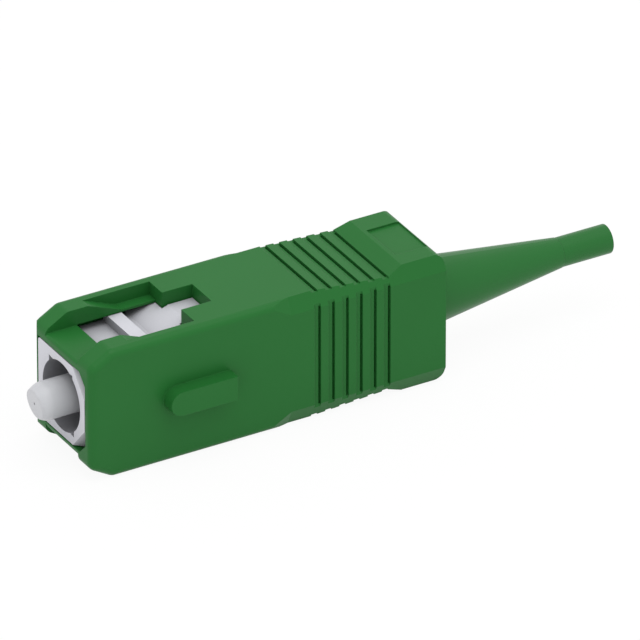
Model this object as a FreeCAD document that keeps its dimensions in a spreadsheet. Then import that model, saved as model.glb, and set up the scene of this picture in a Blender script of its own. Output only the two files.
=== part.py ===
import FreeCAD, Part
import math
import os
import Sketcher

# SC fibre connector: a push-pull coupling sleeve over a plug frame that holds a floating ferrule.
# Millimetres. X runs from the mating face (x = 0 at the sleeve's front) back to the boot,
# -Y is the key side, +Z is up. The connector lies on the sleeve's -Z face.

RIBS = 6        # grip recesses on each face
SPARE = 0.3     # how far a cut runs past the face it opens, and a pad into what carries it

os.makedirs("parts", exist_ok=True)
doc = FreeCAD.newDocument("sc_fibre_connector")
sheet = doc.addObject("Spreadsheet::Sheet", "Sizes")

SIZES = [
    # coupling sleeve, outside
    ("sleeve_half_width", 3.7), ("sleeve_half_height", 4.5), ("sleeve_length", 25.4),
    ("long_edge_round", 0.5), ("far_bevel_run", 0.35), ("far_bevel_rise", 0.6),
    ("rail_slope_run", 1.6), ("rail_slope_rise", 0.92), ("rail_half_gap", 2.05),
    ("rail_top_round", 0.6), ("rail_nose_round", 0.7),
    ("lip_length", 2.27), ("lip_outer", 3.38), ("lip_top_round", 0.2), ("lip_bottom_round", 0.42),
    # coupling sleeve, rear section with bevelled long edges
    ("bevel_setback", 11.1), ("bevel_lead", 1.33), ("bevel_side", 0.5), ("bevel_drop", 1.05),
    ("bevel_part", 0.3),
    ("grip_setback", 9.45), ("grip_length", 5.47), ("grip_fall", 0.443), ("block_length", 2.95),
    ("grip_pitch", 1.0), ("grip_floor", 0.33), ("grip_gap", 0.45), ("grip_depth", 0.12),
    ("groove_depth", 0.3), ("grip_top_half", 3.15), ("grip_side_half", 3.5),
    ("rear_round", 0.6), ("label_setback", 2.67), ("label_length", 2.32), ("label_near", 1.96),
    ("label_far", 1.62), ("label_depth", 0.14),
    # coupling sleeve, openings
    ("window_rear", 7.85), ("ledge_half", 2.82), ("ledge_front", 3.07), ("ledge_ramp_end", 5.45),
    ("ledge_top", 3.57), ("slot_half", 1.21), ("slot_rear", 10.0),
    # coupling sleeve, cavity
    ("cavity_half_width", 3.0), ("cavity_half_height", 2.88), ("cavity_corner", 0.75),
    ("roof_height", 3.4), ("roof_setback", 11.4), ("back_room_height", 2.95), ("rear_wall", 1.4),
    ("rear_hole_radius", 2.44),
    # key on the sleeve's side
    ("key_front", 5.15), ("key_rear", 9.96), ("key_half", 0.88), ("key_height", 0.97),
    ("key_draft", 2.0),
    # plug frame
    ("frame_half_width", 2.92), ("frame_half_height", 2.8), ("frame_setback", 6.4),
    ("frame_bevel_side", 1.5), ("frame_bevel_drop", 1.7), ("frame_bevel_run", 1.4),
    ("frame_corner", 0.25), ("frame_near_corner", 0.73),
    ("frame_bore_radius", 2.37), ("frame_bore_depth", 6.0), ("neck_radius", 1.75),
    ("neck_length", 1.0), ("spring_room_radius", 2.45),
    ("ridge_front", 4.43), ("ridge_length", 0.97), ("ridge_top", 3.41), ("ridge_half", 1.99),
    ("ridge_base_top", 3.3), ("ridge_base_half", 2.6), ("ridge_base_depth", 0.9),
    ("notch_side", 1.553), ("notch_tip", 2.2), ("notch_low", 1.6), ("notch_inner", 0.9),
    ("notch_inner_rise", 2.1), ("small_notch_side", 1.42), ("small_notch_tip", 2.13),
    ("notch_depth", 3.0),
    ("latch_front", 6.14), ("latch_wide_top", 3.34), ("latch_wide_front", 7.55),
    ("latch_wide_spare", 2.0), ("latch_pad_front", 8.2), ("latch_pad_rear", 9.95),
    ("latch_pad_top", 3.6), ("latch_pad_half", 1.1),
    ("latch_mid_gap", 0.07), ("latch_mid_half", 1.98),
    # ferrule and the parts that float with it
    ("ferrule_radius", 1.2495), ("ferrule_front", 1.91), ("ferrule_rear", 8.6),
    ("ferrule_stem_radius", 1.05), ("ferrule_shoulder_round", 0.8), ("tip_edge_round", 0.1),
    ("tip_bevel_run", 0.52), ("tip_bevel_drop", 0.26), ("tip_lean", 0.1405), ("tip_spare", 0.3),
    ("fibre_hole_radius", 0.07), ("fibre_hole_end", 4.0), ("buffer_hole_radius", 0.5),
    ("flange_radius", 2.2), ("flange_length", 1.95), ("flange_nose_radius", 1.65),
    ("flange_nose_front", 5.9), ("flange_flat", 2.0), ("spigot_radius", 1.45),
    ("spigot_length", 1.6), ("tube_radius", 0.7), ("tube_reach", 2.0),
    # spring
    ("wire_radius", 0.2), ("coil_radius", 1.88), ("spring_turns", 5.0),
    # stop ring
    ("ring_reach", 4.5), ("ring_bead_reach", 2.6), ("ring_bead_length", 0.8),
    ("ring_bead_height", 0.14), ("ring_bead_ramp", 0.4), ("ring_collar_length", 1.2),
    ("ring_collar_radius", 2.75), ("ring_tail_radius", 1.55), ("ring_tail_beyond", 1.1),
    ("ring_barb", 0.12), ("ring_barb_place", 2.2), ("ring_barb_length", 1.0),
    # boot
    ("boot_collar_radius", 2.75), ("boot_collar_length", 1.7), ("boot_mid_radius", 2.35),
    ("boot_exit_radius", 2.32), ("boot_taper_length", 10.25), ("boot_taper_radius", 1.0),
    ("boot_tail_radius", 0.965), ("boot_tail_length", 3.6), ("boot_bore_radius", 0.5),
    ("boot_funnel_length", 1.0),
    # fits
    ("seat_gap", 0.03), ("slide_gap", 0.05), ("float_gap", 0.1),
]


class Size:
    """A length read from the sheet, kept together with the expression that gives it."""

    def __init__(self, value, text):
        self.value = value
        self.text = text

    def __add__(self, other):
        other = size(other)
        return Size(self.value + other.value, "(%s + %s)" % (self.text, other.text))

    def __sub__(self, other):
        other = size(other)
        return Size(self.value - other.value, "(%s - %s)" % (self.text, other.text))

    def __mul__(self, other):
        other = size(other)
        return Size(self.value * other.value, "(%s * %s)" % (self.text, other.text))

    def __truediv__(self, other):
        other = size(other)
        return Size(self.value / other.value, "(%s / %s)" % (self.text, other.text))

    def __neg__(self):
        return Size(-self.value, "(0 - %s)" % self.text)


def size(number):
    """Any plain number as a Size."""
    if isinstance(number, Size):
        return number
    return Size(float(number), "%.6g" % number)


for row, (alias, number) in enumerate(SIZES):
    sheet.set("A%d" % (row + 1), alias)
    sheet.set("B%d" % (row + 1), "%.6g" % number)
    sheet.setAlias("B%d" % (row + 1), alias)
doc.recompute()
S = {}
for alias, number in SIZES:
    S[alias] = Size(float(number), "Sizes." + alias)


def new_body(name):
    """A body whose label is the part's own name."""
    body = doc.addObject("PartDesign::Body", name)
    body.Label = name
    body.Placement = FreeCAD.Placement()
    return body


def plane_of(body, role):
    """The body's own origin plane."""
    for feature in body.Origin.OriginFeatures:
        if feature.Role == role:
            return feature


def bind(thing, path, length):
    """One property driven by the sheet."""
    thing.setExpression(path, length.text)


def sketch_on(body, name, role, offset=None):
    """An empty sketch on an origin plane, moved along its normal by an offset."""
    sketch = body.newObject("Sketcher::SketchObject", name)
    sketch.AttachmentSupport = (plane_of(body, role), [""])
    sketch.MapMode = "FlatFace"
    if offset is not None:
        offset = size(offset)
        sketch.AttachmentOffset = FreeCAD.Placement(
            FreeCAD.Vector(0, 0, offset.value), FreeCAD.Rotation())
        bind(sketch, "AttachmentOffset.Base.z", offset)
    return sketch


def hold(sketch, geo, end, spot):
    """Pin one end of a line at a sheet-driven spot."""
    for kind, axis, amount in (("DistanceX", -2, spot[0]), ("DistanceY", -1, spot[1])):
        if abs(amount.value) < 1e-9:
            sketch.addConstraint(Sketcher.Constraint("PointOnObject", geo, end, axis))
        elif amount.value > 0:
            index = sketch.addConstraint(
                Sketcher.Constraint(kind, -1, 1, geo, end, amount.value))
            bind(sketch, "Constraints[%d]" % index, amount)
        else:
            index = sketch.addConstraint(
                Sketcher.Constraint(kind, geo, end, -1, 1, -amount.value))
            bind(sketch, "Constraints[%d]" % index, -amount)


def polygon(sketch, spots):
    """A closed outline through the spots, every corner driven by the sheet."""
    spots = [(size(a), size(b)) for a, b in spots]
    count = len(spots)
    first = None
    for i in range(count):
        a = spots[i]
        b = spots[(i + 1) % count]
        line = Part.LineSegment(FreeCAD.Vector(a[0].value, a[1].value, 0),
                                FreeCAD.Vector(b[0].value, b[1].value, 0))
        geo = sketch.addGeometry(line, False)
        if first is None:
            first = geo
    for i in range(count):
        sketch.addConstraint(Sketcher.Constraint(
            "Coincident", first + i, 2, first + (i + 1) % count, 1))
    for i in range(count):
        hold(sketch, first + i, 1, spots[i])


def circle(sketch, radius):
    """A circle about the sketch's origin."""
    radius = size(radius)
    geo = sketch.addGeometry(Part.Circle(
        FreeCAD.Vector(0, 0, 0), FreeCAD.Vector(0, 0, 1), radius.value), False)
    sketch.addConstraint(Sketcher.Constraint("Coincident", geo, 3, -1, 1))
    index = sketch.addConstraint(Sketcher.Constraint("Radius", geo, radius.value))
    bind(sketch, "Constraints[%d]" % index, radius)


def feature(body, kind, name, sketch, length=None, both=False, flip=False):
    """A pad, pocket, revolution or groove from one sketch."""
    made = body.newObject("PartDesign::" + kind, name)
    made.Profile = sketch
    if kind in ("Pad", "Pocket"):
        length = size(length)
        made.Length = length.value
        bind(made, "Length", length)
        if both:
            made.SideType = "Symmetric"
        made.Reversed = flip
    else:
        made.ReferenceAxis = (sketch, ["H_Axis"])
        made.Angle = 360.0
    sketch.Visibility = False
    doc.recompute()
    return made


def mirrored(body, name, originals, role):
    """Features repeated across one of the body's origin planes."""
    made = body.newObject("PartDesign::Mirrored", name)
    made.Originals = originals
    made.MirrorPlane = (plane_of(body, role), [""])
    body.Tip = made
    doc.recompute()
    return made


def edges_where(shape, test):
    """Names of the edges whose middle point passes the test."""
    names = []
    for number, edge in enumerate(shape.Edges):
        box = edge.BoundBox
        if test(box):
            names.append("Edge%d" % (number + 1))
    return names


def near(a, b, slack=0.02):
    return abs(a - b) < slack


def fillet(body, name, base, names, radius):
    """Rounded edges driven by the sheet."""
    made = body.newObject("PartDesign::Fillet", name)
    made.Base = (base, names)
    radius = size(radius)
    made.Radius = radius.value
    bind(made, "Radius", radius)
    doc.recompute()
    return made


# ---------------------------------------------------------------- coupling sleeve
outer = new_body("outer_housing")
sleeve_y = S["sleeve_half_width"]
sleeve_z = S["sleeve_half_height"]
rear = S["sleeve_length"]
face_top = sleeve_z - S["rail_slope_rise"]
bevel_full = rear - S["bevel_setback"]
grip_start = rear - S["grip_setback"]
grip_end = grip_start + S["grip_length"]
grip_low = sleeve_z - S["grip_fall"]
ramp_end = rear - S["block_length"]
roof_rear = rear - S["roof_setback"]

sketch = sketch_on(outer, "sleeve_front_side", "XZ_Plane")
polygon(sketch, [(0, -face_top), (S["rail_slope_run"], -sleeve_z), (bevel_full, -sleeve_z),
                 (bevel_full, sleeve_z), (S["rail_slope_run"], sleeve_z), (0, face_top)])
front_block = feature(outer, "Pad", "sleeve_front", sketch, sleeve_y * 2, both=True)
picked = edges_where(front_block.Shape, lambda b: (
    near(b.XMin, S["rail_slope_run"].value) and near(b.XLength, 0) and near(b.ZLength, 0)))
rail_tops = fillet(outer, "rail_top_edges", front_block, picked, S["rail_top_round"])
picked = edges_where(rail_tops.Shape, lambda b: (
    near(b.XMin, 0) and near(b.XLength, 0) and near(b.ZLength, 0)))
rail_noses = fillet(outer, "rail_nose_edges", rail_tops, picked, S["rail_nose_round"])

sketch = sketch_on(outer, "far_bevel_profile", "XY_Plane")
polygon(sketch, [(0, sleeve_y - S["far_bevel_rise"]), (0, sleeve_y + SPARE),
                 (S["far_bevel_run"], sleeve_y + SPARE), (S["far_bevel_run"], sleeve_y)])
far_bevel = feature(outer, "Pocket", "far_front_bevel", sketch, sleeve_z * 2 + SPARE, both=True)

# long edges of the front block, with the slopes and the near front edge in one run
shape = far_bevel.Shape
full = bevel_full.value
picked = edges_where(shape, lambda b: (
    (near(b.YMin, -sleeve_y.value) or near(b.YMax, sleeve_y.value)) and near(b.YLength, 0)
    and not (near(b.XMin, full) and near(b.XMax, full))
    and not (b.YMin > 0 and near(b.XLength, 0) and b.ZLength > sleeve_y.value)))
fillet(outer, "front_long_edges", far_bevel, picked, S["long_edge_round"])

# rear block with the bevelled long edges
flat_half = sleeve_y - S["bevel_side"]
bevel_z = sleeve_z - S["bevel_drop"]
sketch = sketch_on(outer, "sleeve_rear_section", "YZ_Plane", bevel_full)
polygon(sketch, [(sleeve_y, -bevel_z), (sleeve_y, bevel_z), (flat_half, sleeve_z),
                 (-flat_half, sleeve_z), (-sleeve_y, bevel_z), (-sleeve_y, -bevel_z),
                 (-flat_half, -sleeve_z), (flat_half, -sleeve_z)])
feature(outer, "Pad", "sleeve_rear", sketch, rear - bevel_full)

# facets that lead from the rounded edges into the bevels
first = sketch_on(outer, "facet_small", "YZ_Plane", bevel_full - S["bevel_lead"])
part = S["bevel_part"]
polygon(first, [(sleeve_y - S["bevel_side"] * part, sleeve_z),
                (sleeve_y, sleeve_z - S["bevel_drop"] * part), (sleeve_y, sleeve_z)])
second = sketch_on(outer, "facet_full", "YZ_Plane", bevel_full)
polygon(second, [(flat_half, sleeve_z), (sleeve_y, bevel_z), (sleeve_y, sleeve_z)])
facet = outer.newObject("PartDesign::SubtractiveLoft", "facet")
facet.Profile = first
facet.Sections = [second]
facet.Ruled = True
doc.recompute()
mirrored(outer, "facets_near", [facet], "XZ_Plane")
multi_low = outer.newObject("PartDesign::MultiTransform", "facets_low")
multi_low.Originals = [facet]
low_z = doc.addObject("PartDesign::Mirrored", "facets_low_z")
low_z.MirrorPlane = (plane_of(outer, "XY_Plane"), [""])
low_y = doc.addObject("PartDesign::Mirrored", "facets_low_y")
low_y.MirrorPlane = (plane_of(outer, "XZ_Plane"), [""])
outer.addObject(low_z)
outer.addObject(low_y)
multi_low.Transformations = [low_z, low_y]
outer.Tip = multi_low
doc.recompute()

# grip section: the top and bottom fall away towards the rear block, then ramp back up
sketch = sketch_on(outer, "grip_fall_profile", "XZ_Plane")
polygon(sketch, [(grip_start, sleeve_z), (grip_end, grip_low), (ramp_end, sleeve_z)])
fall = feature(outer, "Pocket", "grip_fall", sketch, sleeve_y * 2 + SPARE, both=True)
fall_low = mirrored(outer, "grip_fall_low", [fall], "XY_Plane")

# rounded rear edges
shape = fall_low.Shape
picked = edges_where(shape, lambda b: (
    near(b.XMin, rear.value) and near(b.XMax, rear.value)
    and near(b.ZMin, b.ZMax, 0.01) and near(abs(b.ZMin), sleeve_z.value)))
fillet(outer, "rear_edges", fall_low, picked, S["rear_round"])

# grip recesses: six shallow cuts straight across each face, which leave the bevels
# between the faces whole, and a narrow groove at each recess's rear end
slope = S["grip_fall"] / S["grip_length"]
sketch = sketch_on(outer, "grip_top_profile", "XZ_Plane")
for k in range(RIBS):
    x0 = grip_start + S["grip_pitch"] * k
    x2 = x0 + S["grip_gap"]
    z0 = sleeve_z - slope * (x0 - grip_start) - S["grip_depth"]
    z2 = sleeve_z - slope * (x2 - grip_start) - S["grip_depth"]
    polygon(sketch, [(x0, z0), (x2, z2), (x2, sleeve_z + SPARE), (x0, sleeve_z + SPARE)])
recess_top = feature(outer, "Pocket", "grip_top", sketch, sleeve_y * 2 + SPARE, both=True)
mirrored(outer, "grip_bottom", [recess_top], "XY_Plane")

sketch = sketch_on(outer, "grip_side_profile", "XY_Plane")
x2 = grip_start + S["grip_gap"]
side_in = sleeve_y - S["grip_depth"]
polygon(sketch, [(grip_start, -side_in), (x2, -side_in), (x2, -(sleeve_y + SPARE)),
                 (grip_start, -(sleeve_y + SPARE))])
recess_side = feature(outer, "Pocket", "grip_side", sketch, sleeve_z * 2 + SPARE, both=True)
recess_rows = outer.newObject("PartDesign::MultiTransform", "grip_sides")
recess_rows.Originals = [recess_side]
row = doc.addObject("PartDesign::LinearPattern", "grip_row")
row.Direction = (sketch, ["H_Axis"])
row.Occurrences = RIBS
row.Length = S["grip_pitch"].value * (RIBS - 1)
row.setExpression("Length", (S["grip_pitch"] * (RIBS - 1)).text)
other = doc.addObject("PartDesign::Mirrored", "grip_other_side")
other.MirrorPlane = (plane_of(outer, "XZ_Plane"), [""])
outer.addObject(row)
outer.addObject(other)
recess_rows.Transformations = [row, other]
outer.Tip = recess_rows
doc.recompute()

sketch = sketch_on(outer, "groove_top_profile", "XZ_Plane")
for k in range(RIBS):
    x1 = grip_start + S["grip_pitch"] * k + S["grip_floor"]
    x2 = grip_start + S["grip_pitch"] * k + S["grip_gap"]
    z1 = sleeve_z - slope * (x1 - grip_start) - S["groove_depth"]
    polygon(sketch, [(x1, z1), (x2, z1), (x2, sleeve_z + SPARE), (x1, sleeve_z + SPARE)])
groove_top = feature(outer, "Pocket", "grooves_top", sketch, S["grip_top_half"] * 2, both=True)
mirrored(outer, "grooves_bottom", [groove_top], "XY_Plane")

sketch = sketch_on(outer, "groove_side_profile", "XY_Plane")
x1 = grip_start + S["grip_floor"]
x2 = grip_start + S["grip_gap"]
polygon(sketch, [(x1, -(sleeve_y - S["groove_depth"])), (x2, -(sleeve_y - S["groove_depth"])),
                 (x2, -(sleeve_y + SPARE)), (x1, -(sleeve_y + SPARE))])
groove_side = feature(outer, "Pocket", "groove_side", sketch, S["grip_side_half"] * 2, both=True)
grip_rows = outer.newObject("PartDesign::MultiTransform", "grooves_sides")
grip_rows.Originals = [groove_side]
row = doc.addObject("PartDesign::LinearPattern", "groove_row")
row.Direction = (sketch, ["H_Axis"])
row.Occurrences = RIBS
row.Length = S["grip_pitch"].value * (RIBS - 1)
row.setExpression("Length", (S["grip_pitch"] * (RIBS - 1)).text)
other = doc.addObject("PartDesign::Mirrored", "groove_other_side")
other.MirrorPlane = (plane_of(outer, "XZ_Plane"), [""])
outer.addObject(row)
outer.addObject(other)
grip_rows.Transformations = [row, other]
outer.Tip = grip_rows
doc.recompute()

# plain label recess on the top of the rear block
sketch = sketch_on(outer, "label_profile", "XY_Plane", sleeve_z)
label_front = rear - S["label_setback"]
label_rear = label_front + S["label_length"]
polygon(sketch, [(label_front, -S["label_near"]), (label_rear, -S["label_near"]),
                 (label_rear, S["label_far"]), (label_front, S["label_far"])])
feature(outer, "Pocket", "label_recess", sketch, S["label_depth"])

# cavity: the front mouth, the taller room behind the lip, the back room and the rear hole
cavity_y = S["cavity_half_width"]
cavity_z = S["cavity_half_height"]
cut = S["cavity_corner"]
sketch = sketch_on(outer, "mouth_section", "YZ_Plane")
polygon(sketch, [(cavity_y, -cavity_z), (cavity_y, cavity_z), (-(cavity_y - cut), cavity_z),
                 (-cavity_y, cavity_z - cut), (-cavity_y, -(cavity_z - cut)),
                 (-(cavity_y - cut), -cavity_z)])
feature(outer, "Pocket", "mouth", sketch, roof_rear, flip=True)

roof = S["roof_height"]
sketch = sketch_on(outer, "room_section", "YZ_Plane", S["lip_length"])
polygon(sketch, [(cavity_y, -roof), (cavity_y, roof), (-cavity_y, roof), (-cavity_y, -roof)])
feature(outer, "Pocket", "tall_room", sketch, roof_rear - S["lip_length"], flip=True)

back = S["back_room_height"]
sketch = sketch_on(outer, "back_room_section", "YZ_Plane", roof_rear)
polygon(sketch, [(cavity_y, -back), (cavity_y, back), (-cavity_y, back), (-cavity_y, -back)])
feature(outer, "Pocket", "back_room", sketch, rear - S["rear_wall"] - roof_rear, flip=True)

sketch = sketch_on(outer, "rear_hole_profile", "YZ_Plane", rear - S["rear_wall"])
circle(sketch, S["rear_hole_radius"])
feature(outer, "Pocket", "rear_hole", sketch, S["rear_wall"], flip=True)

# openings through the top and the bottom: the gap between the rails down to the lip,
# the window, the ledges beside it and the narrow slot behind it
gap = S["rail_half_gap"]
sketch = sketch_on(outer, "rail_gap_profile", "XZ_Plane")
polygon(sketch, [(0, S["lip_outer"]), (S["lip_length"], S["lip_outer"]),
                 (S["lip_length"], roof - SPARE), (S["window_rear"], roof - SPARE),
                 (S["window_rear"], sleeve_z + SPARE), (0, sleeve_z + SPARE)])
rail_gap = feature(outer, "Pocket", "rail_gap", sketch, gap * 2, both=True)
sketch = sketch_on(outer, "ledge_profile", "XZ_Plane")
polygon(sketch, [(S["ledge_front"], sleeve_z), (S["ledge_ramp_end"], S["ledge_top"]),
                 (S["window_rear"], S["ledge_top"]), (S["window_rear"], sleeve_z + SPARE),
                 (S["ledge_front"], sleeve_z + SPARE)])
ledge = feature(outer, "Pocket", "ledges", sketch, S["ledge_half"] * 2, both=True)
sketch = sketch_on(outer, "slot_profile", "XZ_Plane")
polygon(sketch, [(S["window_rear"] - SPARE, roof - SPARE), (S["slot_rear"], roof - SPARE),
                 (S["slot_rear"], sleeve_z + SPARE), (S["window_rear"] - SPARE, sleeve_z + SPARE)])
slot = feature(outer, "Pocket", "slot", sketch, S["slot_half"] * 2, both=True)
mirrored(outer, "openings_below", [rail_gap, ledge, slot], "XY_Plane")

# rounded front edges of the lips, the lower one softer: each follows a quarter circle of
# radius r about (r, lip - r), through its points at 0, 22.5, 45, 67.5 and 90 degrees
QUARTER = [(1 - math.cos(t), 1 - math.sin(t)) for t in [math.pi / 8 * k for k in range(5)]]
for side, name, radius in ((1, "lip_top_edge", S["lip_top_round"]),
                           (-1, "lip_bottom_edge", S["lip_bottom_round"])):
    spots = [(radius * a, (S["lip_outer"] - radius * b) * side) for a, b in QUARTER]
    spots.append((radius, (S["lip_outer"] + SPARE) * side))
    spots.append((-SPARE, (S["lip_outer"] + SPARE) * side))
    spots.append((-SPARE, (S["lip_outer"] - radius) * side))
    sketch = sketch_on(outer, name + "_profile", "XZ_Plane")
    polygon(sketch, spots)
    feature(outer, "Pocket", name, sketch, gap * 2, both=True)

# key, full round at its front end, with draft on its sides
sketch = sketch_on(outer, "key_profile", "XZ_Plane", sleeve_y - SPARE)
key_z = S["key_half"]
centre = S["key_front"] + key_z
top = sketch.addGeometry(Part.LineSegment(FreeCAD.Vector(centre.value, key_z.value, 0),
                                      FreeCAD.Vector(S["key_rear"].value, key_z.value, 0)), False)
end = sketch.addGeometry(Part.LineSegment(FreeCAD.Vector(S["key_rear"].value, key_z.value, 0),
                                      FreeCAD.Vector(S["key_rear"].value, -key_z.value, 0)), False)
low = sketch.addGeometry(Part.LineSegment(FreeCAD.Vector(S["key_rear"].value, -key_z.value, 0),
                                      FreeCAD.Vector(centre.value, -key_z.value, 0)), False)
arc = sketch.addGeometry(Part.ArcOfCircle(
    Part.Circle(FreeCAD.Vector(centre.value, 0, 0), FreeCAD.Vector(0, 0, 1), key_z.value),
    math.pi / 2, math.pi * 3 / 2), False)
sketch.addConstraint(Sketcher.Constraint("Coincident", top, 2, end, 1))
sketch.addConstraint(Sketcher.Constraint("Coincident", end, 2, low, 1))
sketch.addConstraint(Sketcher.Constraint("Tangent", low, 2, arc, 2))
sketch.addConstraint(Sketcher.Constraint("Tangent", top, 1, arc, 1))
sketch.addConstraint(Sketcher.Constraint("Horizontal", top))
sketch.addConstraint(Sketcher.Constraint("Vertical", end))
sketch.addConstraint(Sketcher.Constraint("PointOnObject", arc, 3, -1))
index = sketch.addConstraint(Sketcher.Constraint("Radius", arc, key_z.value))
bind(sketch, "Constraints[%d]" % index, key_z)
index = sketch.addConstraint(Sketcher.Constraint("DistanceX", -1, 1, arc, 3, centre.value))
bind(sketch, "Constraints[%d]" % index, centre)
index = sketch.addConstraint(Sketcher.Constraint("DistanceX", -1, 1, end, 1, S["key_rear"].value))
bind(sketch, "Constraints[%d]" % index, S["key_rear"])
key = outer.newObject("PartDesign::Pad", "key")
key.Profile = sketch
key.Length = S["key_height"].value + SPARE
bind(key, "Length", S["key_height"] + SPARE)
key.TaperAngle = -S["key_draft"].value
bind(key, "TaperAngle", -S["key_draft"])
sketch.Visibility = False
doc.recompute()

# ---------------------------------------------------------------- plug frame
frame = new_body("plug_frame")
frame_y = S["frame_half_width"]
frame_z = S["frame_half_height"]
frame_rear = rear - S["frame_setback"]
latch_wide_rear = roof_rear - S["latch_wide_spare"]
sketch = sketch_on(frame, "frame_section", "YZ_Plane")
polygon(sketch, [(frame_y, -frame_z), (frame_y, frame_z), (-frame_y, frame_z), (-frame_y, -frame_z)])
frame_pad = feature(frame, "Pad", "frame_block", sketch, frame_rear)
picked = edges_where(frame_pad.Shape, lambda b: (
    near(b.YMin, frame_y.value) and near(b.YMax, frame_y.value) and b.XLength > frame_y.value))
fillet(frame, "frame_far_corners", frame_pad, picked, S["frame_corner"])

# small bevels along the two corners of the key side, and the lead-in bevels before them
bevel = S["frame_near_corner"]
sketch = sketch_on(frame, "near_corner_section", "YZ_Plane")
polygon(sketch, [(-(frame_y - bevel), frame_z), (-frame_y, frame_z - bevel),
                 (-frame_y - SPARE, frame_z - bevel), (-frame_y - SPARE, frame_z + SPARE),
                 (-(frame_y - bevel), frame_z + SPARE)])
near_cut = feature(frame, "Pocket", "near_corner", sketch, frame_rear, flip=True)
mirrored(frame, "near_corner_low", [near_cut], "XY_Plane")

wide = sketch_on(frame, "lead_in_front", "YZ_Plane")
polygon(wide, [(-(frame_y - S["frame_bevel_side"]), frame_z),
               (-frame_y, frame_z - S["frame_bevel_drop"]), (-frame_y, frame_z)])
small = sketch_on(frame, "lead_in_rear", "YZ_Plane", S["frame_bevel_run"])
tenth = S["frame_bevel_side"] / 10
tenth_z = S["frame_bevel_drop"] / 10
polygon(small, [(-(frame_y - tenth), frame_z), (-frame_y, frame_z - tenth_z), (-frame_y, frame_z)])
lead = frame.newObject("PartDesign::SubtractiveLoft", "lead_in")
lead.Profile = wide
lead.Sections = [small]
lead.Ruled = True
doc.recompute()
mirrored(frame, "lead_in_low", [lead], "XY_Plane")

# latch shoulders, ramps and pads above and below
climb = (S["latch_pad_top"] - frame_z) / (S["latch_pad_front"] - S["latch_front"])
sketch = sketch_on(frame, "ridge_profile", "XZ_Plane")
ridge_rear = S["ridge_front"] + S["ridge_length"]
polygon(sketch, [(S["ridge_front"], frame_z - SPARE), (ridge_rear, frame_z - SPARE),
                 (ridge_rear, S["ridge_top"]), (S["ridge_front"], S["ridge_top"])])
ridge = feature(frame, "Pad", "latch_ridge", sketch, S["ridge_half"] * 2, both=True)
sketch = sketch_on(frame, "ridge_base_profile", "XZ_Plane")
polygon(sketch, [(S["ridge_front"], frame_z - S["ridge_base_depth"]),
                 (ridge_rear, frame_z - S["ridge_base_depth"]), (ridge_rear, S["ridge_base_top"]),
                 (S["ridge_front"], S["ridge_base_top"])])
ridge_base = feature(frame, "Pad", "ridge_base", sketch, S["ridge_base_half"] * 2, both=True)
sketch = sketch_on(frame, "wide_ramp_profile", "XZ_Plane")
polygon(sketch, [(S["latch_front"], frame_z - SPARE), (latch_wide_rear, frame_z - SPARE),
                 (latch_wide_rear, S["latch_wide_top"]),
                 (S["latch_front"] + (S["latch_wide_top"] - frame_z) / climb, S["latch_wide_top"]),
                 (S["latch_front"], frame_z)])
ramp = feature(frame, "Pad", "wide_ramp", sketch, frame_y * 2, both=True)
mid_rear = S["window_rear"] - S["latch_mid_gap"]
sketch = sketch_on(frame, "mid_ramp_profile", "XZ_Plane")
polygon(sketch, [(S["latch_front"], frame_z), (S["latch_front"], frame_z - SPARE),
                 (mid_rear, frame_z - SPARE),
                 (mid_rear, frame_z + climb * (mid_rear - S["latch_front"]))])
middle = feature(frame, "Pad", "mid_ramp", sketch, S["latch_mid_half"] * 2, both=True)
sketch = sketch_on(frame, "pad_profile", "XZ_Plane")
polygon(sketch, [(S["latch_wide_front"], frame_z), (S["latch_pad_rear"], frame_z),
                 (S["latch_pad_rear"], S["latch_pad_top"]),
                 (S["latch_pad_front"], S["latch_pad_top"]),
                 (S["latch_wide_front"], frame_z + climb * (S["latch_wide_front"] - S["latch_front"]))])
pad = feature(frame, "Pad", "latch_pad", sketch, S["latch_pad_half"] * 2, both=True)
mirrored(frame, "latches_below", [ridge, ridge_base, ramp, middle, pad], "XY_Plane")

# bore stepped for the ferrule, the neck and the spring room, with a groove for the stop ring
neck_rear = S["frame_bore_depth"] + S["neck_length"]
room_r = S["spring_room_radius"]
bead = room_r + S["ring_bead_height"]
bead_front = frame_rear - S["ring_bead_reach"]
bead_rear = bead_front + S["ring_bead_length"]
clear = S["slide_gap"]
sketch = sketch_on(frame, "bore_profile", "XZ_Plane")
polygon(sketch, [(0, 0), (frame_rear, 0), (frame_rear, room_r), (bead_rear + clear, room_r),
                 (bead_rear + clear, bead), (bead_front - clear, bead), (bead_front - clear, room_r),
                 (neck_rear, room_r), (neck_rear, S["neck_radius"]),
                 (S["frame_bore_depth"], S["neck_radius"]),
                 (S["frame_bore_depth"], S["frame_bore_radius"]), (0, S["frame_bore_radius"])])
feature(frame, "Groove", "stepped_bore", sketch)

# four small corner notches in the mouth of the bore
sketch = sketch_on(frame, "notch_section", "YZ_Plane")
for sign in (1, -1):
    polygon(sketch, [(S["notch_side"] * sign, S["notch_tip"] * sign),
                     (S["notch_side"] * sign, S["notch_low"] * sign),
                     (S["notch_inner"] * sign, S["notch_inner_rise"] * sign)])
    polygon(sketch, [(-(S["small_notch_side"] * sign), S["small_notch_tip"] * sign),
                     (-(S["small_notch_side"] * sign), S["notch_low"] * sign),
                     (-(S["notch_inner"] * sign), S["notch_inner_rise"] * sign)])
feature(frame, "Pocket", "bore_notches", sketch, S["notch_depth"], flip=True)

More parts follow.
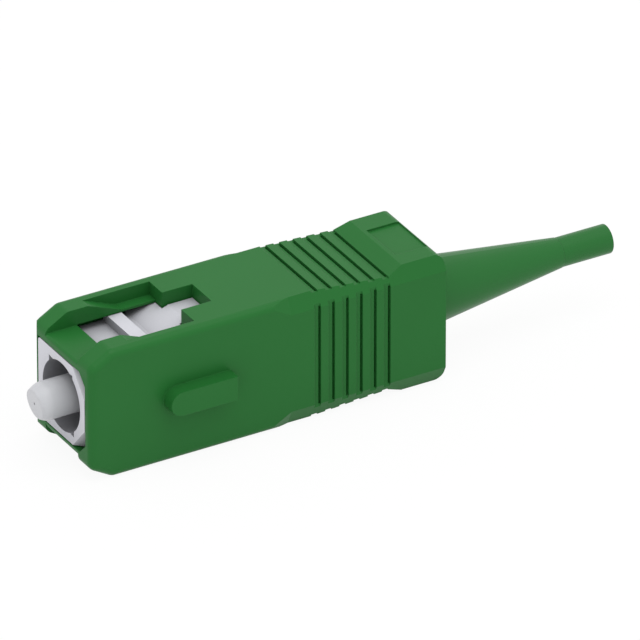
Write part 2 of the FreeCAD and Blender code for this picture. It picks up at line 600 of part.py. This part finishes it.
# ---------------------------------------------------------------- ferrule
ferrule = new_body("ferrule")
ferrule_r = S["ferrule_radius"]
tip = -S["ferrule_front"]
sketch = sketch_on(ferrule, "ferrule_profile", "XZ_Plane")
nose = tip - S["tip_spare"]
nose_radius = ferrule_r - S["tip_bevel_drop"] * (S["tip_spare"] / S["tip_bevel_run"] + 1)
polygon(sketch, [(nose, S["fibre_hole_radius"]), (S["fibre_hole_end"], S["fibre_hole_radius"]),
                 (S["fibre_hole_end"] + S["buffer_hole_radius"], S["buffer_hole_radius"]),
                 (S["ferrule_rear"], S["buffer_hole_radius"]),
                 (S["ferrule_rear"], S["ferrule_stem_radius"]),
                 (S["flange_nose_front"], S["ferrule_stem_radius"]),
                 (S["flange_nose_front"], ferrule_r), (tip + S["tip_bevel_run"], ferrule_r),
                 (nose, nose_radius)])
rod = feature(ferrule, "Revolution", "ferrule_rod", sketch)
picked = edges_where(rod.Shape, lambda b: (
    near(b.XMin, (tip + S["tip_bevel_run"]).value) and near(b.XLength, 0)))
fillet(ferrule, "shoulder", rod, picked, S["ferrule_shoulder_round"])
# the end face leans 8 degrees (tangent 0.1405) about the key's own direction, so that two
# plugs with their keys on one side meet flush
sketch = sketch_on(ferrule, "angled_face_profile", "XZ_Plane")
reach = ferrule_r + SPARE
far_front = nose - SPARE
polygon(sketch, [(far_front, reach), (tip - S["tip_lean"] * reach, reach),
                 (tip + S["tip_lean"] * reach, -reach), (far_front, -reach)])
angled = feature(ferrule, "Pocket", "angled_face", sketch, ferrule_r * 2 + SPARE, both=True)
picked = edges_where(angled.Shape, lambda b: (
    b.XMax < (tip + S["tip_bevel_run"]).value - 0.05 and b.ZLength > ferrule_r.value))
fillet(ferrule, "tip_edge", angled, picked, S["tip_edge_round"])

# ---------------------------------------------------------------- ferrule flange
flange = new_body("ferrule_flange")
head_front = neck_rear + S["seat_gap"]
head_rear = head_front + S["flange_length"]
sketch = sketch_on(flange, "flange_profile", "XZ_Plane")
stem = S["ferrule_stem_radius"]
spigot_end = head_rear + S["spigot_length"]
polygon(sketch, [(S["flange_nose_front"], stem), (S["ferrule_rear"], stem),
                 (S["ferrule_rear"], S["tube_radius"]), (spigot_end, S["tube_radius"]),
                 (spigot_end, S["spigot_radius"]), (head_rear, S["spigot_radius"]),
                 (head_rear, S["flange_radius"]), (head_front, S["flange_radius"]),
                 (head_front, S["flange_nose_radius"]),
                 (S["flange_nose_front"], S["flange_nose_radius"])])
feature(flange, "Revolution", "flange_turned", sketch)
sketch = sketch_on(flange, "flat_profile", "XY_Plane")
polygon(sketch, [(head_front, S["flange_flat"]), (head_rear, S["flange_flat"]),
                 (head_rear, S["flange_radius"] + SPARE), (head_front, S["flange_radius"] + SPARE)])
flat = feature(flange, "Pocket", "key_flat", sketch, S["flange_radius"] * 2 + SPARE, both=True)
mirrored(flange, "key_flats", [flat], "XZ_Plane")

# ---------------------------------------------------------------- guide tube
tube = new_body("guide_tube")
ring_front = frame_rear - S["ring_reach"]
tube_end = ring_front + S["tube_reach"]
sketch = sketch_on(tube, "tube_profile", "XZ_Plane")
polygon(sketch, [(S["ferrule_rear"] + S["seat_gap"], S["buffer_hole_radius"]),
                 (tube_end, S["buffer_hole_radius"]), (tube_end, S["tube_radius"]),
                 (S["ferrule_rear"] + S["seat_gap"], S["tube_radius"])])
feature(tube, "Revolution", "tube_wall", sketch)

# ---------------------------------------------------------------- spring
spring = new_body("spring")
coil_front = head_rear + S["seat_gap"] + S["wire_radius"]
coil_rear = ring_front - S["seat_gap"] - S["wire_radius"]
coil_span = coil_rear - coil_front
sketch = sketch_on(spring, "wire_section", "XZ_Plane")
wire = sketch.addGeometry(Part.Circle(FreeCAD.Vector(coil_front.value, S["coil_radius"].value, 0),
                                  FreeCAD.Vector(0, 0, 1), S["wire_radius"].value), False)
index = sketch.addConstraint(Sketcher.Constraint("Radius", wire, S["wire_radius"].value))
bind(sketch, "Constraints[%d]" % index, S["wire_radius"])
hold(sketch, wire, 3, (coil_front, S["coil_radius"]))
coil = spring.newObject("PartDesign::AdditiveHelix", "coil")
coil.Profile = sketch
coil.ReferenceAxis = (sketch, ["H_Axis"])
coil.Mode = "height-turns-growth"
coil.Height = coil_span.value
coil.Turns = S["spring_turns"].value
bind(coil, "Height", coil_span)
coil.Growth = 0.0
bind(coil, "Turns", S["spring_turns"])
sketch.Visibility = False
doc.recompute()

# ---------------------------------------------------------------- stop ring
stop = new_body("stop_ring")
ring_r = room_r - S["seat_gap"]
ring_bead = bead - S["seat_gap"]
collar_front = frame_rear + S["seat_gap"]
collar_rear = collar_front + S["ring_collar_length"]
tail = S["ring_tail_radius"]
tail_end = rear + S["ring_tail_beyond"]
hole = S["tube_radius"] + S["float_gap"]
barb_at = collar_rear + S["ring_barb_place"]
barb_end = barb_at + S["ring_barb_length"]
sketch = sketch_on(stop, "ring_profile", "XZ_Plane")
polygon(sketch, [(ring_front, hole), (tail_end, hole), (tail_end, tail), (barb_end, tail),
                 (barb_at, tail + S["ring_barb"]), (barb_at, tail), (collar_rear, tail),
                 (collar_rear, S["ring_collar_radius"]), (collar_front, S["ring_collar_radius"]),
                 (collar_front, ring_r), (bead_rear, ring_r), (bead_rear, ring_bead),
                 (bead_front + S["ring_bead_ramp"], ring_bead), (bead_front, ring_r),
                 (ring_front, ring_r)])
feature(stop, "Revolution", "ring_turned", sketch)

# ---------------------------------------------------------------- boot
boot = new_body("boot")
boot_front = collar_rear + S["seat_gap"]
taper_end = rear + S["boot_taper_length"]
boot_end = taper_end + S["boot_tail_length"]
inner = tail + S["seat_gap"]
barb_room = S["ring_barb"]
step = tail_end + S["float_gap"]
sketch = sketch_on(boot, "boot_profile", "XZ_Plane")
polygon(sketch, [(boot_front, inner), (barb_at - clear, inner), (barb_at - clear, inner + barb_room),
                 (barb_at + clear, inner + barb_room), (barb_end + clear, inner), (step, inner),
                 (step + S["boot_funnel_length"], S["boot_bore_radius"]),
                 (boot_end, S["boot_bore_radius"]), (boot_end, S["boot_tail_radius"]),
                 (taper_end, S["boot_tail_radius"]), (taper_end, S["boot_taper_radius"]),
                 (rear, S["boot_exit_radius"]),
                 (boot_front + S["boot_collar_length"], S["boot_mid_radius"]),
                 (boot_front + S["boot_collar_length"], S["boot_collar_radius"]),
                 (boot_front, S["boot_collar_radius"])])
feature(boot, "Revolution", "boot_moulded", sketch)

doc.recompute()
NODES = ["outer_housing", "plug_frame", "ferrule", "ferrule_flange", "guide_tube", "spring",
         "stop_ring", "boot"]
for thing in doc.Objects:
    bad = [word for word in thing.State if word in ("Invalid", "Error")]
    if bad:
        raise RuntimeError("%s is %s" % (thing.Name, bad))
for name in NODES:
    thing = doc.getObject(name)
    if thing.Shape.isNull() or not thing.Shape.isValid() or len(thing.Shape.Solids) != 1:
        raise RuntimeError("%s has a bad shape" % name)
for name in NODES:
    doc.getObject(name).Shape.exportStep("parts/%s.step" % name)
    print(name, round(doc.getObject(name).Shape.Volume, 3))
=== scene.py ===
import bpy
import math
from mathutils import Matrix, Vector


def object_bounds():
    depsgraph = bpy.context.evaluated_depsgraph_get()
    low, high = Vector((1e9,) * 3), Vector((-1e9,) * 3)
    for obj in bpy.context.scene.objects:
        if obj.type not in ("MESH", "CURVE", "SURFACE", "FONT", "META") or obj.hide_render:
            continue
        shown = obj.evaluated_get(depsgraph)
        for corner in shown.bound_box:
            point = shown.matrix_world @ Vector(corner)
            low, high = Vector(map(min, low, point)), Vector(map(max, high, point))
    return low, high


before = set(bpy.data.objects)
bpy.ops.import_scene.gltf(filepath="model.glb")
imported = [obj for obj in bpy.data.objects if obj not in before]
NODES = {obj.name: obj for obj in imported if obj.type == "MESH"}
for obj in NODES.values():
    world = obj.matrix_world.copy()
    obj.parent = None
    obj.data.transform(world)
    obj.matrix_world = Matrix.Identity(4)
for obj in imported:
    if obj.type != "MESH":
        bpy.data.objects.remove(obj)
CAD_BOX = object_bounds()
MM = 0.001
SHADE_REACH = 5.0 * MM       # how far a surface looks about for walls that hem it in, for the painted shade in hollows
PLASTIC_DRIFT = 6.0 * MM   # width of the slow colour drift in a moulding
CERAMIC_CLOUD = 1.5 * MM   # width of the faint clouds in the zirconia
CERAMIC_GRIND = 0.05 * MM  # width of the grinding marks on it
CERAMIC_EDGE = 0.2 * MM    # how softly its edges turn
RING_DEPTH = 0.004 * MM    # height of the lathe's rings


# ------------------------------------------------------------------ materials
def shade(text):
    """An sRGB hex colour as linear red, green, blue, alpha."""
    out = []
    for i in (1, 3, 5):
        c = int(text[i:i + 2], 16) / 255.0
        out.append(c / 12.92 if c <= 0.04045 else ((c + 0.055) / 1.055) ** 2.4)
    return out + [1.0]


def add(tree, kind, settings=None, values=None, links=None):
    """One node with its settings, its socket values and its incoming links."""
    node = tree.nodes.new(kind)
    for key, value in (settings or {}).items():
        setattr(node, key, value)
    for key, value in (values or {}).items():
        node.inputs[key].default_value = value
    for key, source in (links or {}).items():
        tree.links.new(source, node.inputs[key])
    return node


def emptied(owner):
    """The owner's node tree, with nothing in it yet."""
    owner.use_nodes = True
    tree = owner.node_tree
    for node in list(tree.nodes):
        tree.nodes.remove(node)
    return tree


def new_material(name):
    mat = bpy.data.materials.new(name)
    return mat, emptied(mat)


def drifting(tree, where, width, low, high):
    """A colour that wanders slowly between low and high over the object."""
    drift = add(tree, "ShaderNodeTexNoise", {}, {"Scale": 1 / width, "Detail": 2.0},
                {"Vector": where.outputs["Object"]})
    tone = add(tree, "ShaderNodeMix", {"data_type": "RGBA"}, {}, {0: drift.outputs["Fac"]})
    tone.inputs[6].default_value = shade(low)
    tone.inputs[7].default_value = shade(high)
    return tone.outputs[2]


def painted_hollow_darkening(tree, colour, hollow_shade):
    """The colour with painted shade: it is darkened by the given factor far inside a bore, slot or
    pocket.

    This is a device for the look: diffuse light alone leaves such places too pale.
    """
    # painted shade: an occlusion test scales the colour down where nearby walls hem the surface in
    sky = add(tree, "ShaderNodeAmbientOcclusion", {"samples": 8}, {"Distance": SHADE_REACH})
    fall = add(tree, "ShaderNodeMapRange", {}, {"To Min": hollow_shade, "To Max": 1.0},
               {"Value": sky.outputs["AO"]})
    shaded = add(tree, "ShaderNodeVectorMath", {"operation": "SCALE"}, {},
               {0: colour, "Scale": fall.outputs["Result"]})
    return shaded.outputs[0]


def moulded(name, low, high, rough, ior, gloss, grain_mm, height_mm, edge_mm, hollow_shade):
    """A moulded plastic: a slow drift of colour, painted shade in its hollows, a fine mould grain
    and softened edges.
    """
    mat, tree = new_material(name)
    where = add(tree, "ShaderNodeTexCoord")
    # painted shade: the drifting colour is darkened inside hollows, slots and grooves
    colour = painted_hollow_darkening(tree, drifting(tree, where, PLASTIC_DRIFT, low, high), hollow_shade)
    grain = add(tree, "ShaderNodeTexNoise", {}, {"Scale": 1 / (grain_mm * MM), "Detail": 3.0},
                {"Vector": where.outputs["Object"]})
    matt = add(tree, "ShaderNodeMapRange", {}, {"To Min": rough - 0.04, "To Max": rough + 0.04},
               {"Value": grain.outputs["Fac"]})
    soft = add(tree, "ShaderNodeBevel", {"samples": 6}, {"Radius": edge_mm * MM})
    bump = add(tree, "ShaderNodeBump", {}, {"Strength": 0.5, "Distance": height_mm * MM},
               {"Height": grain.outputs["Fac"], "Normal": soft.outputs["Normal"]})
    shader = add(tree, "ShaderNodeBsdfPrincipled", {}, {"IOR": ior, "Specular IOR Level": gloss},
                 {"Base Color": colour, "Roughness": matt.outputs["Result"],
                  "Normal": bump.outputs["Normal"]})
    add(tree, "ShaderNodeOutputMaterial", {}, {}, {"Surface": shader.outputs["BSDF"]})
    return mat


def turned(name, colour, rough, ring_mm):
    """A turned metal: fine rings about the X axis from the lathe tool."""
    mat, tree = new_material(name)
    where = add(tree, "ShaderNodeTexCoord")
    rings = add(tree, "ShaderNodeTexWave", {"wave_type": "BANDS", "bands_direction": "X"},
                {"Scale": 1 / (ring_mm * MM * math.tau), "Distortion": 0.6, "Detail": 1.0},
                {"Vector": where.outputs["Object"]})
    matt = add(tree, "ShaderNodeMapRange", {}, {"To Min": rough - 0.05, "To Max": rough + 0.05},
               {"Value": rings.outputs["Fac"]})
    bump = add(tree, "ShaderNodeBump", {}, {"Strength": 0.3, "Distance": RING_DEPTH},
               {"Height": rings.outputs["Fac"]})
    shader = add(tree, "ShaderNodeBsdfPrincipled", {}, {"Metallic": 1.0},
                 {"Roughness": matt.outputs["Result"], "Normal": bump.outputs["Normal"]})
    shader.inputs["Base Color"].default_value = shade(colour)
    add(tree, "ShaderNodeOutputMaterial", {}, {}, {"Surface": shader.outputs["BSDF"]})
    return mat


def ceramic(name, low, high, rough, hollow_shade):
    """Sintered zirconia, centreless ground: dense, white and only slightly cloudy, with painted
    shade in its hollows.
    """
    mat, tree = new_material(name)
    where = add(tree, "ShaderNodeTexCoord")
    # painted shade: the cloudy colour is darkened where the frame and bore hem it in
    colour = painted_hollow_darkening(tree, drifting(tree, where, CERAMIC_CLOUD, low, high), hollow_shade)
    soft = add(tree, "ShaderNodeBevel", {"samples": 6}, {"Radius": CERAMIC_EDGE})
    grind = add(tree, "ShaderNodeTexNoise", {}, {"Scale": 1 / CERAMIC_GRIND, "Detail": 1.0},
                {"Vector": where.outputs["Object"]})
    matt = add(tree, "ShaderNodeMapRange", {}, {"To Min": rough - 0.03, "To Max": rough + 0.03},
               {"Value": grind.outputs["Fac"]})
    shader = add(tree, "ShaderNodeBsdfPrincipled", {}, {"IOR": 2.1, "Specular IOR Level": 0.1},
                 {"Base Color": colour, "Roughness": matt.outputs["Result"],
                  "Normal": soft.outputs["Normal"]})
    add(tree, "ShaderNodeOutputMaterial", {}, {}, {"Surface": shader.outputs["BSDF"]})
    return mat


# The last setting of each moulding and of the zirconia is how far its painted shade darkens the
# colour deep in hollows.
# PBT, injection moulded in a spark-eroded tool: an even satin green with a faint grain.
GREEN = moulded("PBT green, injection moulded", "#22652b", "#24692e", rough=0.4, ior=1.5,
                gloss=0.14, grain_mm=0.09, height_mm=0.003, edge_mm=0.05, hollow_shade=0.92)
# PBT in its natural white, moulded in a smoother tool: it reads slightly cool and matt.
WHITE = moulded("PBT white, injection moulded", "#ceced5", "#d2d2d9", rough=0.45, ior=1.55,
                gloss=0.2, grain_mm=0.08, height_mm=0.002, edge_mm=0.03, hollow_shade=0.24)
# TPE, moulded: the same green with a slightly tighter sheen along its round.
BOOT = moulded("TPE green, moulded", "#22642b", "#24682e", rough=0.35, ior=1.5,
               gloss=0.2, grain_mm=0.12, height_mm=0.003, edge_mm=0.05, hollow_shade=0.92)
# PTFE tube, drawn: milky and waxy.
TUBE = moulded("PTFE tube, drawn", "#dcdcd8", "#e4e4e0", rough=0.45, ior=1.35,
               gloss=0.5, grain_mm=0.2, height_mm=0.002, edge_mm=0.02, hollow_shade=0.8)
# Zirconia, ground all round: a clean cool white with soft, low reflections.
ZIRCONIA = ceramic("Zirconia, sintered and ground", "#bdbec2", "#c2c3c7", rough=0.3, hollow_shade=0.65)
# Stainless steel, turned: cool grey, with the lathe's fine rings in its reflections.
FLANGE = turned("Stainless steel, turned", "#b9bcc0", rough=0.3, ring_mm=0.06)
# Brass, turned and nickel plated: a slightly warm silver, smoother than the steel.
RING = turned("Nickel-plated brass, turned", "#b9b5a8", rough=0.28, ring_mm=0.08)
# Spring wire, drawn: bright grey with a tight sheen along each coil.
WIRE = turned("Stainless spring wire, drawn", "#aeb1b5", rough=0.25, ring_mm=0.12)

LOOK = {
    "outer_housing": GREEN, "plug_frame": WHITE, "boot": BOOT, "ferrule": ZIRCONIA,
    "ferrule_flange": FLANGE, "guide_tube": TUBE, "spring": WIRE, "stop_ring": RING,
}
for name, obj in NODES.items():
    obj.data.materials.clear()
    obj.data.materials.append(LOOK[name])

# ------------------------------------------------------------------ floor, light, camera
FLOOR_Z = float(CAD_BOX[0][2])
FLOOR_REACH = 3.0    # metres each way from the origin
AMBIENT = 0.92       # what the room gives every side
BACKDROP = 1.0       # white, as the eye and the gloss see it
FLOOR_GLOW = 0.93    # the rest of the floor takes the shadow
LENS = 845.3         # millimetres, with the usual 36 mm sensor
CAMERA_AWAY = 0.937  # metres from the middle of the connector
CENTRE = Vector((0.01846, 0.0, 0.000085))  # what the lamp and the camera aim at


def quad(name, points, material):
    mesh = bpy.data.meshes.new(name)
    mesh.from_pydata(points, [], [(0, 1, 2, 3)])
    obj = bpy.data.objects.new(name, mesh)
    bpy.context.scene.collection.objects.link(obj)
    mesh.materials.append(material)


def shown(tree, share):
    """How far a ray is one that shows the backdrop: seen straight, in gloss or through glass."""
    path = add(tree, "ShaderNodeLightPath")
    gloss = add(tree, "ShaderNodeMath", {"operation": "MAXIMUM"}, {},
                {0: path.outputs["Is Camera Ray"], 1: path.outputs["Is Glossy Ray"]})
    either = add(tree, "ShaderNodeMath", {"operation": "MAXIMUM"}, {},
                 {0: gloss.outputs[0], 1: path.outputs["Is Transmission Ray"]})
    part = add(tree, "ShaderNodeMath", {"operation": "MULTIPLY"}, {1: share},
               {0: either.outputs[0]})
    return part.outputs[0]


floor_paint, tree = new_material("Painted studio floor")
paint = add(tree, "ShaderNodeBsdfDiffuse")
paint.inputs["Color"].default_value = shade("#f2f2f2")
glow = add(tree, "ShaderNodeEmission", {}, {"Strength": BACKDROP})
glow.inputs["Color"].default_value = shade("#ffffff")
mixed = add(tree, "ShaderNodeMixShader", {}, {},
            {0: shown(tree, FLOOR_GLOW), 1: paint.outputs[0], 2: glow.outputs[0]})
add(tree, "ShaderNodeOutputMaterial", {}, {}, {"Surface": mixed.outputs[0]})
quad("floor", [(x * FLOOR_REACH, y * FLOOR_REACH, FLOOR_Z)
               for x, y in ((-1, -1), (1, -1), (1, 1), (-1, 1))], floor_paint)

world = bpy.data.worlds.new("studio")
bpy.context.scene.world = world
tree = emptied(world)
room = add(tree, "ShaderNodeBackground", {}, {"Strength": AMBIENT})
room.inputs["Color"].default_value = shade("#ffffff")
white = add(tree, "ShaderNodeBackground", {}, {"Strength": BACKDROP})
white.inputs["Color"].default_value = shade("#ffffff")
mixed = add(tree, "ShaderNodeMixShader", {}, {},
            {0: shown(tree, 1.0), 1: room.outputs[0], 2: white.outputs[0]})
add(tree, "ShaderNodeOutputWorld", {}, {}, {"Surface": mixed.outputs[0]})


def lamp(name, azimuth, elevation, distance, across, power):
    """A square soft lamp aimed at the connector's middle."""
    a = math.radians(azimuth)
    e = math.radians(elevation)
    away = Vector((math.sin(a) * -math.cos(e), -math.cos(a) * math.cos(e), math.sin(e)))
    data = bpy.data.lights.new(name, "AREA")
    data.shape = "SQUARE"
    data.size = across
    data.energy = power
    obj = bpy.data.objects.new(name, data)
    bpy.context.scene.collection.objects.link(obj)
    obj.location = CENTRE + away * distance
    obj.rotation_euler = away.to_track_quat("Z", "Y").to_euler()


lamp("overhead", azimuth=0.0, elevation=80.0, distance=0.45, across=0.35, power=0.8)

# Camera: a long lens from the key side, 30 degrees round and 30 degrees up.
TURN = math.radians(30)
LIFT = math.radians(30)
RIGHT = Vector((math.cos(TURN), -math.sin(TURN), 0.0))
UP = Vector((math.sin(TURN) * math.sin(LIFT), math.cos(TURN) * math.sin(LIFT), math.cos(LIFT)))
AHEAD = Vector((math.sin(TURN) * math.cos(LIFT), math.cos(TURN) * math.cos(LIFT), -math.sin(LIFT)))
cam_data = bpy.data.cameras.new("camera")
cam_data.sensor_width = 36.0
cam_data.lens = LENS
cam_data.clip_start = 0.05
cam_data.clip_end = 20.0
cam = bpy.data.objects.new("camera", cam_data)
bpy.context.scene.collection.objects.link(cam)
spin = Matrix((RIGHT, UP, -AHEAD)).transposed()
cam.matrix_world = Matrix.Translation(CENTRE - AHEAD * CAMERA_AWAY) @ spin.to_4x4()
bpy.context.scene.camera = cam
bpy.context.scene.view_settings.view_transform = "Standard"
